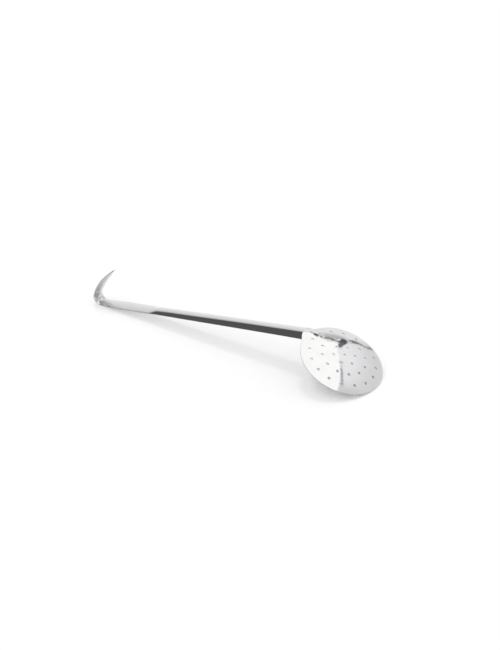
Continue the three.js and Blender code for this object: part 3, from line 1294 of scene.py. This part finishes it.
@dataclass(frozen=True)
class Studio:
    """The floor, one soft lamp and the white surroundings that the steel mirrors.

    Attributes:
        white: Light of the card overhead, as the steel mirrors it.
        even: Light that the surroundings send to matt surfaces.
        lamp: Strength of the lamp.
        lamp_lean: How far a shadow moves in x and y for each unit of height.
        lamp_angle: Width of the lamp in degrees.
        floor_radius: In metres.
        floor_tone: Colour of the floor.
        floor_glow: Share of the floor's look that is even white and takes no shadow.
        shaded_middle: Middle of the patch of floor under the dish that has no such share, in metres,
        so the floor there is darker: painted shade under the dish.
        shaded_reach: Distances from there at which the share is whole and at which it is gone.
    """

    white: float = 1.27
    even: float = 0.92
    lamp: float = 0.45
    lamp_lean: tuple[float, float] = (0.10, -0.26)
    lamp_angle: float = 14.0
    floor_radius: float = 4.0
    floor_tone: Colour = (0.98, 0.98, 0.98)
    floor_glow: float = 0.36
    shaded_middle: tuple[float, float, float] = (0.198, 0.0, 0.0)
    shaded_reach: tuple[float, float] = (0.062, 0.034)

    # Lower border of the card overhead: azimuth and elevation in degrees.
    CARD_BORDER = (
        (-60, 50), (0, 54.5), (20, 56.3), (30, 56), (37, 55.9), (48, 55.9), (54, 55), (58, 54.4),
        (64, 52.8), (70, 51.6), (77, 48.8), (81, 46.9), (85, 44.8), (87, 43), (88.5, 42), (90, 41),
        (91, 39.7), (92, 38.2), (93, 36.8), (94.5, 36), (96.5, 36.8), (99.5, 37.7), (101.5, 37.8),
        (104, 38.7), (108, 38.5), (112, 37), (116, 41), (120, 46), (130, 50), (160, 54), (230, 56),
        (300, 50),
    )
    GAPS = (
        Gap((98.0, 25.5), (104.0, 31.0), 4.0, 0.62, soft=6.0),
        Gap((95.8, 26.5), (93.4, 32.0), 2.4, 0.10),
        Gap((93.4, 32.0), (90.2, 38.5), 1.6, 0.16),
        Gap((95.0, 33.0), (97.4, 33.0), 0.9, 0.20),
        Gap((99.8, 33.9), (102.8, 35.2), 1.9, 0.20),
        Gap((102.5, 36.8), (107.5, 37.2), 0.8, 0.42),
        Gap((94.2, 20.8), (93.8, 16.6), 1.8, 0.22),
        Gap((93.8, 16.6), (91.7, 13.4), 1.2, 0.26),
        Gap((91.7, 13.4), (90.9, 11.2), 0.75, 0.38),
        Gap((91.2, 9.4), (91.8, 7.4), 1.3, 0.30),
        Gap((24.0, 55.2), (33.0, 53.9), 0.6, 0.66, 0.04),
        Gap((35.0, 54.6), (48.0, 54.6), 1.0, 0.34, 0.07),
        Gap((48.0, 54.6), (60.0, 53.5), 1.0, 0.36, 0.07),
        Gap((60.0, 53.5), (65.0, 51.8), 0.6, 0.60, 0.06),
        Gap((65.0, 51.8), (71.0, 50.6), 0.5, 0.70, 0.05),
    )
    # The side card beyond the dish: its light, and how it grows upwards and falls at the end.
    FAR_LIGHT, FAR_UP, FAR_END = 0.84, Fade(22.0, 50.0, 0.22), Fade(42.0, 18.0, 0.16)
    # The side card along the handle: its light, and how it falls in two steps towards the hook.
    NEAR_LIGHT, NEAR_FALLS = 0.99, (Fade(126.0, 148.0, 0.17), Fade(146.0, 158.0, 0.30))
    # Where the one card takes over from the other, and where neither of them stands.
    CHANGE = Fade(95.5, 96.5)
    UNLIT, UNLIT_TONE = (Fade(153.0, 164.0), Fade(236.0, 228.0)), (0.10, 0.10, 0.105)
    BRIGHTEST = 1.25        # the side cards' light at which the mixed colour is whole
    FIRST_AZIMUTH = -60.0   # degrees at which a round of azimuths starts
    RAGGED = 2.0            # degrees by which noise shifts the borders

    def build(self) -> None:
        """Makes the floor, the lamp and the surroundings."""
        self.make_floor()
        self.make_lamp()
        self.make_world()

    def make_floor(self) -> None:
        """Makes a round floor at z = 0: rings of points at growing distances."""
        plan = np.array([0.02, 0.3, 1.0, self.floor_radius])[:, None, None] * around(full_turn(64))
        points = np.concatenate([plan, 0 * plan[..., :1]], axis=-1)
        rings = np.arange(plan[..., 0].size).reshape(plan.shape[:2])
        nexts = np.roll(rings, -1, axis=1)
        quads = np.stack([rings[:-1], rings[1:], nexts[1:], nexts[:-1]], axis=-1)
        mesh = bpy.data.meshes.new("floor")
        faces = [*quads.reshape(-1, 4).tolist(), rings[0].tolist()]
        mesh.from_pydata(points.reshape(-1, 3).tolist(), [], faces)
        mesh.update()
        floor = bpy.data.objects.new("floor", mesh)
        bpy.context.scene.collection.objects.link(floor)
        made = bpy.data.materials.new("floor_paper")
        sheet = Sheet(made)
        matt = sheet.node("ShaderNodeBsdfDiffuse", {}, {"Color": self.floor_tone})
        glow = sheet.node("ShaderNodeEmission", {}, {"Color": (1.0, 1.0, 1.0), "Strength": 1.0})
        path = sheet.node("ShaderNodeLightPath")
        seen = path.most(path.output("Is Transmission Ray"))
        # Painted shade: the glow is left out in a patch under the dish, so the floor there is darker.
        spot = sheet.node("ShaderNodeTexCoord", {}, {}, "Object")
        away = spot.measure("DISTANCE", self.shaded_middle)
        share = seen * away.rises(self.shaded_reach[1], self.shaded_reach[0]) * self.floor_glow
        both = sheet.node("ShaderNodeMixShader", {}, {0: share, 1: matt, 2: glow})
        sheet.node("ShaderNodeOutputMaterial", {}, {"Surface": both})
        mesh.materials.append(made)

    def make_lamp(self) -> None:
        """Makes the lamp. The card overhead is what the steel mirrors of it."""
        light = bpy.data.lights.new("soft_lamp", "SUN")
        light.energy = self.lamp
        light.angle = math.radians(self.lamp_angle)
        lamp = bpy.data.objects.new("soft_lamp", light)
        towards = Vector((-self.lamp_lean[0], -self.lamp_lean[1], 1.0))
        lamp.rotation_euler = towards.to_track_quat("Z", "Y").to_euler()
        lamp.location = towards
        lamp.visible_glossy = False
        bpy.context.scene.collection.objects.link(lamp)

    def make_world(self) -> None:
        """Makes the surroundings: white to the camera, even to matt surfaces, cards to the steel."""
        world = bpy.data.worlds.new("studio")
        bpy.context.scene.world = world
        sheet = Sheet(world)
        path = sheet.node("ShaderNodeLightPath")
        even = (self.even, self.even, self.even)
        colour = path.output("Is Glossy Ray").mixed(even, self.mirrored(sheet))
        seen = path.output("Is Camera Ray").most(path.output("Is Transmission Ray"))
        colour = seen.mixed(colour, (1.0, 1.0, 1.0))
        back = sheet.node("ShaderNodeBackground", {}, {"Color": colour, "Strength": 1.0})
        sheet.node("ShaderNodeOutputWorld", {}, {"Surface": back})

    def mirrored(self, sheet: Sheet) -> Signal:
        """What the steel mirrors of the surroundings, by direction.

        Azimuth is the arc tangent of y over x and elevation the arc sine of z. Noise makes the
        borders uneven. The side cards come first, then the gaps, then the card overhead.

        Args:
            sheet: The world's tree.

        Returns:
            The colour.
        """
        way = sheet.node("ShaderNodeTexCoord", {}, {}, "Generated")
        x, y, z = way.parts()
        middle = self.FIRST_AZIMUTH + 180.0
        cos_m, sin_m = math.cos(math.radians(middle)), math.sin(math.radians(middle))
        ahead, aside = x * cos_m + y * sin_m, y * cos_m - x * sin_m
        ragged, other = sheet.noise(way, 40.0, 3.0), sheet.noise(way + way * 7.0, 6.0, 3.0)
        azimuth = aside.math("ARCTAN2", ahead) * math.degrees(1.0) + middle + ragged * self.RAGGED
        elevation = z.math("ARCSINE") * math.degrees(1.0) + other * self.RAGGED
        stops = [((a - self.FIRST_AZIMUTH) / 360.0, e / 90.0) for a, e in self.CARD_BORDER]
        place = (azimuth - self.FIRST_AZIMUTH) / 360.0
        border = sheet.node("ShaderNodeValToRGB", {"stops": stops}, {"Fac": place}) * 90.0
        far = self.FAR_UP.at(elevation + (azimuth - 60.0) * 0.5) + self.FAR_LIGHT
        far = far * (1.0 - self.FAR_END.at(azimuth))
        near = self.NEAR_LIGHT - self.NEAR_FALLS[0].at(azimuth) - self.NEAR_FALLS[1].at(azimuth)
        light = far + (near - far) * self.CHANGE.at(azimuth)
        whole = (self.BRIGHTEST, self.BRIGHTEST, self.BRIGHTEST + 0.02)
        colour = (light / self.BRIGHTEST).mixed((0.0, 0.0, 0.0), whole)
        unlit = self.UNLIT[0].at(azimuth) * self.UNLIT[1].at(azimuth)
        colour = unlit.mixed(colour, self.UNLIT_TONE)
        spot = sheet.vector(azimuth, elevation, 0.0)
        for gap in self.GAPS:
            colour = self.bar(sheet, spot, gap).mixed(colour, gap.colour)
        over = (elevation - border).rises(-0.5, 0.5)
        return over.mixed(colour, (self.white, self.white, 0.985 * self.white))

    @staticmethod
    def bar(sheet: Sheet, spot: Signal, gap: Gap) -> Signal:
        """Where one gap lies: nearer to the line between its ends than its half width.

        Args:
            sheet: The world's tree.
            spot: Azimuth and elevation.
            gap: The gap.

        Returns:
            1 inside and 0 outside.
        """
        start, end = np.array([*gap.start, 0.0]), np.array([*gap.end, 0.0])
        line = end - start
        away = spot - tuple(start)
        share = away.measure("DOT_PRODUCT", tuple(line / (line @ line))).most(0.0).least(1.0)
        near = sheet.node("ShaderNodeVectorMath", {"operation": "SCALE"}, {0: tuple(line), "Scale": share})
        distance = away.measure("DISTANCE", near)
        return distance.rises(gap.half_width + gap.soft / 2, gap.half_width - gap.soft / 2)


@dataclass(frozen=True)
class Viewpoint:
    """The camera of the photograph.

    Attributes:
        elevation: Degrees above the floor.
        turn: Degrees that it stands round from the front towards the dish.
        roll: Degrees that it is turned about its own axis.
        aside: Millimetres from the picture's middle to the skimmer's, to the right.
        down: The same downwards.
        distance: Millimetres to the skimmer's middle.
        focal: Focal length in pixels.
        tall: Height of the picture in pixels.
    """

    elevation: float = 30.4918
    turn: float = 35.0097
    roll: float = 2.6555
    aside: float = -28.9239
    down: float = 24.1921
    distance: float = 2137.1806
    focal: float = 1500.0
    tall: int = 650

    def build(self) -> None:
        """Makes the camera and gives it to the scene."""
        e, t, r = (math.radians(v) for v in (self.elevation, self.turn, self.roll))
        ahead = -Vector((math.cos(e) * math.sin(t), -math.cos(e) * math.cos(t), math.sin(e)))
        level = Vector((math.cos(t), math.sin(t), 0.0))
        drop = ahead.cross(level)
        right = math.cos(r) * level + math.sin(r) * drop
        below = -math.sin(r) * level + math.cos(r) * drop
        place = -(self.aside * right + self.down * below + self.distance * ahead) / METRE
        data = bpy.data.cameras.new("camera")
        data.sensor_width = 36.0
        data.lens = self.focal * data.sensor_width / self.tall
        data.clip_end = 50.0
        camera = bpy.data.objects.new("camera", data)
        camera.matrix_world = Matrix((
            (right.x, -below.x, -ahead.x, place.x),
            (right.y, -below.y, -ahead.y, place.y),
            (right.z, -below.z, -ahead.z, place.z),
            (0.0, 0.0, 0.0, 1.0),
        ))
        bpy.context.scene.collection.objects.link(camera)
        bpy.context.scene.camera = camera


@dataclass(frozen=True)
class Skimmer:
    """The whole skimmer: dish and handle, with their finishes."""

    dish: Dish
    handle: Handle

    def build(self) -> None:
        """Builds, dresses and registers both pieces."""
        pose = RestPose.lying(self.dish, self.handle)
        log.info("lies at %.3f degrees, moved by %s mm", math.degrees(pose.tilt), np.round(pose.shift, 3))
        shell = self.dish.build(pose)
        self.dress(shell, "perforated_dish", PolishedSteel("dish_steel", Lay.ROUND), pose)
        strip = self.handle.build(pose)
        self.dress(strip, "handle", PolishedSteel("handle_steel", Lay.LENGTHWISE), pose)

    @staticmethod
    def dress(piece: bpy.types.Object, node: str, finish: PolishedSteel, pose: RestPose) -> None:
        """Gives a piece its finish and sets it in place of its CAD node.

        Args:
            piece: The piece.
            node: The CAD node that it stands for.
            finish: Its finish.
            pose: Where the skimmer lies.
        """
        piece.data.materials.append(finish.material(pose))
        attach(piece, "root")
        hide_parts(node)
        low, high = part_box(node)
        log.info("%s stands for %s, whose box is %s to %s", piece.name, node, tuple(low), tuple(high))


def main() -> None:
    """Builds the scene."""
    logging.basicConfig(level=logging.INFO, format="%(name)s: %(message)s")
    bpy.context.scene.view_settings.view_transform = "Standard"
    Viewpoint().build()
    Studio().build()
    dish = Dish()
    Skimmer(dish, Handle(dish)).build()


if __name__ == "__main__":
    main()
